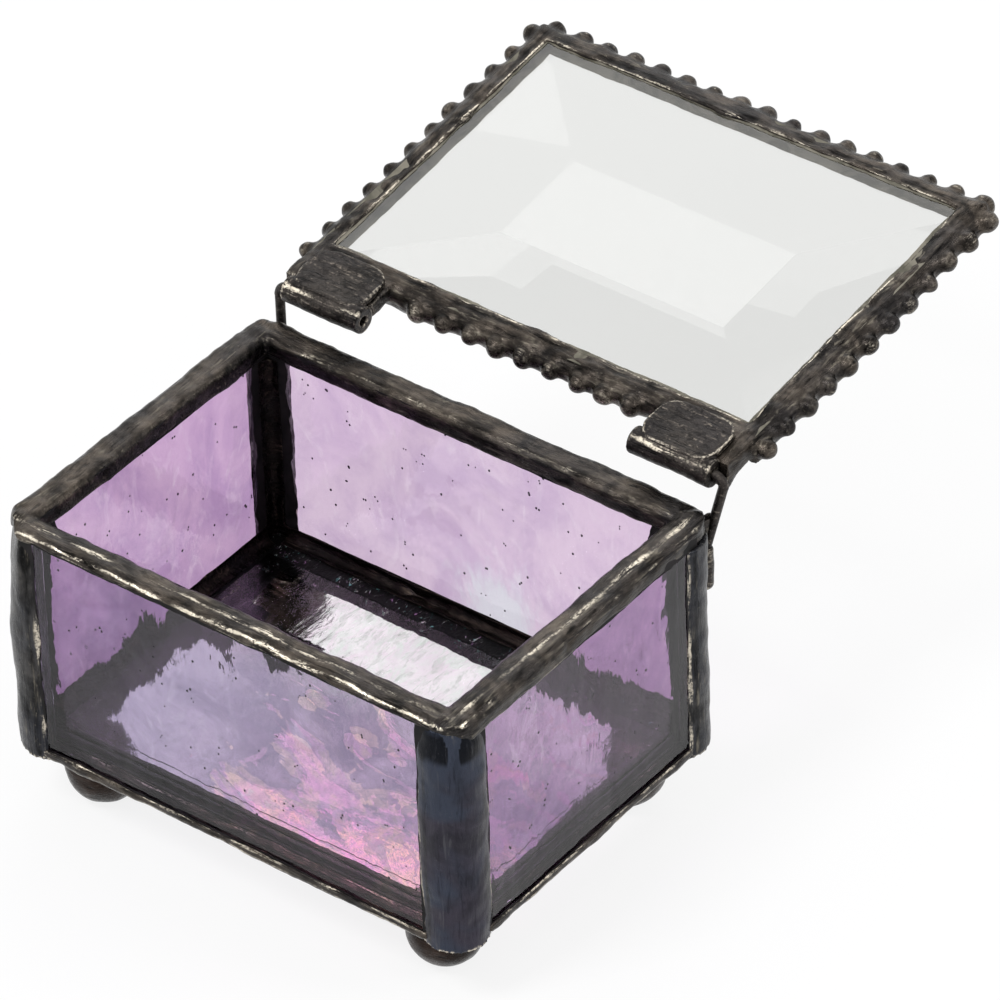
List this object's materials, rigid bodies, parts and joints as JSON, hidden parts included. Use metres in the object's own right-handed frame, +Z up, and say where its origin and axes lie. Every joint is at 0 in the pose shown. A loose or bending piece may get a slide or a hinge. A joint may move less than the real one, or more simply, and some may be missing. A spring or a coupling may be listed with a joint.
{
  "type": "glass casket box",
  "caption": "Small foiled and soldered glass box with round corner seams, ball feet and a hinged bevelled glass lid in a pearled solder border.",
  "frame": {"origin": "middle of the box's floor, the base pane's upper face", "axes": "+X along the box to the viewer's right from the front, +Y from the front wall to the hinges, +Z up"},
  "size_m": [0.0596, 0.0919, 0.0449],
  "materials": {
    "purple_glass": "gloss",
    "base_glass": "gloss",
    "clear_glass": "gloss",
    "foil": "satin",
    "solder": "satin",
    "hinge_metal": "satin"
  },
  "bodies": {
    "box": {"glass_front": "purple_glass", "glass_back": "purple_glass", "glass_left": "purple_glass", "glass_right": "purple_glass", "glass_base": "base_glass", "foil_front": "foil", "foil_back": "foil", "foil_left": "foil", "foil_right": "foil", "foil_base": "foil", "seam_front_left": "solder", "seam_front_right": "solder", "seam_back_left": "solder", "seam_back_right": "solder", "fillet_front_left": "solder", "fillet_front_right": "solder", "fillet_back_left": "solder", "fillet_back_right": "solder", "base_fillet_front": "solder", "base_fillet_back": "solder", "base_fillet_left": "solder", "base_fillet_right": "solder", "rim_front": "solder", "rim_back": "solder", "rim_left": "solder", "rim_right": "solder", "base_seam_front": "solder", "base_seam_back": "solder", "base_seam_left": "solder", "base_seam_right": "solder", "foot_front_left": "solder", "foot_front_right": "solder", "foot_back_left": "solder", "foot_back_right": "solder", "hinge_wire_left": "hinge_metal", "hinge_wire_right": "hinge_metal", "wire_joint_left": "solder", "wire_joint_right": "solder"},
    "lid": {"hinge_tube_left": "hinge_metal", "hinge_tube_right": "hinge_metal", "hinge_solder_left": "solder", "hinge_solder_right": "solder", "lid_glass": "clear_glass", "lid_foil": "foil", "lid_border_front": "solder", "lid_border_back": "solder", "lid_border_left": "solder", "lid_border_right": "solder"}
  },
  "joints": [
    {"name": "lid_hinge", "type": "hinge", "parent": "box", "child": "lid", "pos_m": [0, 0.0234, 0.0273], "axis": [1, 0, 0], "range_deg": [0, 173.9]}
  ]
}
